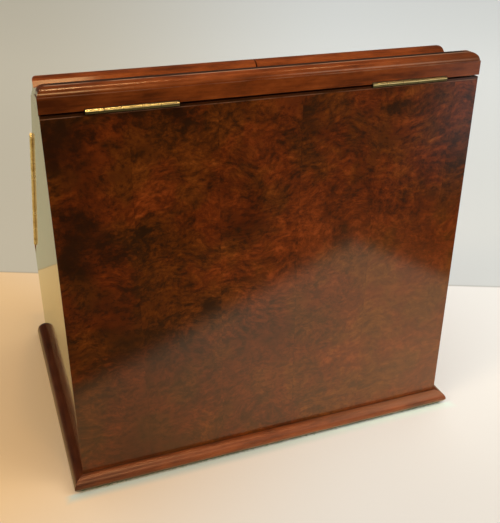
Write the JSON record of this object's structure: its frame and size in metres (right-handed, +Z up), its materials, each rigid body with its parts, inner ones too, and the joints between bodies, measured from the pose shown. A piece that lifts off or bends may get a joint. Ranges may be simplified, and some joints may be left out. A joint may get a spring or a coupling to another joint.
{
  "type": "stationery box",
  "caption": "Slope-front desk box for writing paper: upright burr back, hinged lid, two sloping hinged doors over a letter rack, pen tray and ink bottles, and a drawer below.",
  "frame": {"origin": "centre of the footprint, on the underside of the baize that the box stands on", "axes": "+Z up; -Y is the front with the doors and the drawer, +Y the upright back; +X is the right-hand side of a person sitting in front of the box"},
  "size_m": [0.354, 0.266, 0.3323],
  "materials": {
    "burr_walnut": "french polished burr veneer",
    "straight_walnut": "french polished straight-grained walnut",
    "interior_wood": "satin waxed",
    "brass": "polished, lightly worn",
    "baize": "matt wool cloth",
    "ink_glass": "clear moulded glass"
  },
  "bodies": {
    "case": {"back_panel": "burr_walnut", "left_side": "burr_walnut", "right_side": "burr_walnut", "base_board": "interior_wood", "front_rail": "burr_walnut", "interior_floor": "interior_wood", "base_moulding_back": "straight_walnut", "base_moulding_front": "straight_walnut", "base_moulding_left": "straight_walnut", "base_moulding_right": "straight_walnut", "baize_underlay": "baize", "rack_cheek_left": "interior_wood", "rack_cheek_right": "interior_wood", "divider_rear": "interior_wood", "divider_second": "interior_wood", "divider_third": "interior_wood", "divider_front": "interior_wood", "pen_tray": "interior_wood", "ink_stand_left": "interior_wood", "ink_stand_right": "interior_wood", "ink_bottle_left": "ink_glass", "ink_bottle_right": "ink_glass", "ink_collar_left": "brass", "ink_collar_right": "brass", "ink_pin_left": "brass", "ink_pin_right": "brass", "lid_hinge_leaf_left": "brass", "lid_hinge_leaf_right": "brass", "lid_hinge_pin_left": "brass", "lid_hinge_pin_right": "brass", "door_hinge_leaf_left": "brass", "door_hinge_leaf_right": "brass", "door_hinge_pin_left": "brass", "door_hinge_pin_right": "brass"},
    "lid": {"lid_panel": "burr_walnut", "lid_moulding_back": "straight_walnut", "lid_moulding_left": "straight_walnut", "lid_moulding_right": "straight_walnut", "lid_hinge_strap_left": "brass", "lid_hinge_strap_right": "brass"},
    "left_door": {"left_door_panel": "burr_walnut", "left_door_hinge_strap": "brass", "lock_strike": "brass"},
    "right_door": {"right_door_panel": "burr_walnut", "right_door_hinge_strap": "brass", "lock_case": "brass", "lock_escutcheon": "brass"},
    "drawer": {"drawer_front": "burr_walnut", "drawer_side_left": "interior_wood", "drawer_side_right": "interior_wood", "drawer_back": "interior_wood", "drawer_bottom": "interior_wood", "drawer_knob_left": "brass", "drawer_knob_right": "brass"},
    "left_ink_cap": {"ink_cap_left": "brass"},
    "right_ink_cap": {"ink_cap_right": "brass"}
  },
  "joints": [
    {"name": "lid_hinge", "type": "hinge", "parent": "case", "child": "lid", "pos_m": [0, 0.124, 0.31475], "axis": [-1, 0, 0], "range_deg": [0, 105]},
    {"name": "right_door_hinge", "type": "hinge", "parent": "case", "child": "right_door", "pos_m": [0.168, -0.02594, 0.20129], "axis": [0, 0.6691, 0.7431], "range_deg": [0, 110]},
    {"name": "left_door_hinge", "type": "hinge", "parent": "case", "child": "left_door", "pos_m": [-0.168, -0.02594, 0.20129], "axis": [0, -0.6691, -0.7431], "range_deg": [0, 110]},
    {"name": "drawer_slide", "type": "slide", "parent": "case", "child": "drawer", "axis": [0, -1, 0], "range_m": [0, 0.15]},
    {"name": "right_ink_cap_hinge", "type": "hinge", "parent": "case", "child": "right_ink_cap", "pos_m": [0.1245, -0.025, 0.1366], "axis": [-1, 0, 0], "range_deg": [0, 100]},
    {"name": "left_ink_cap_hinge", "type": "hinge", "parent": "case", "child": "left_ink_cap", "pos_m": [-0.1245, -0.025, 0.1366], "axis": [-1, 0, 0], "range_deg": [0, 100]}
  ]
}
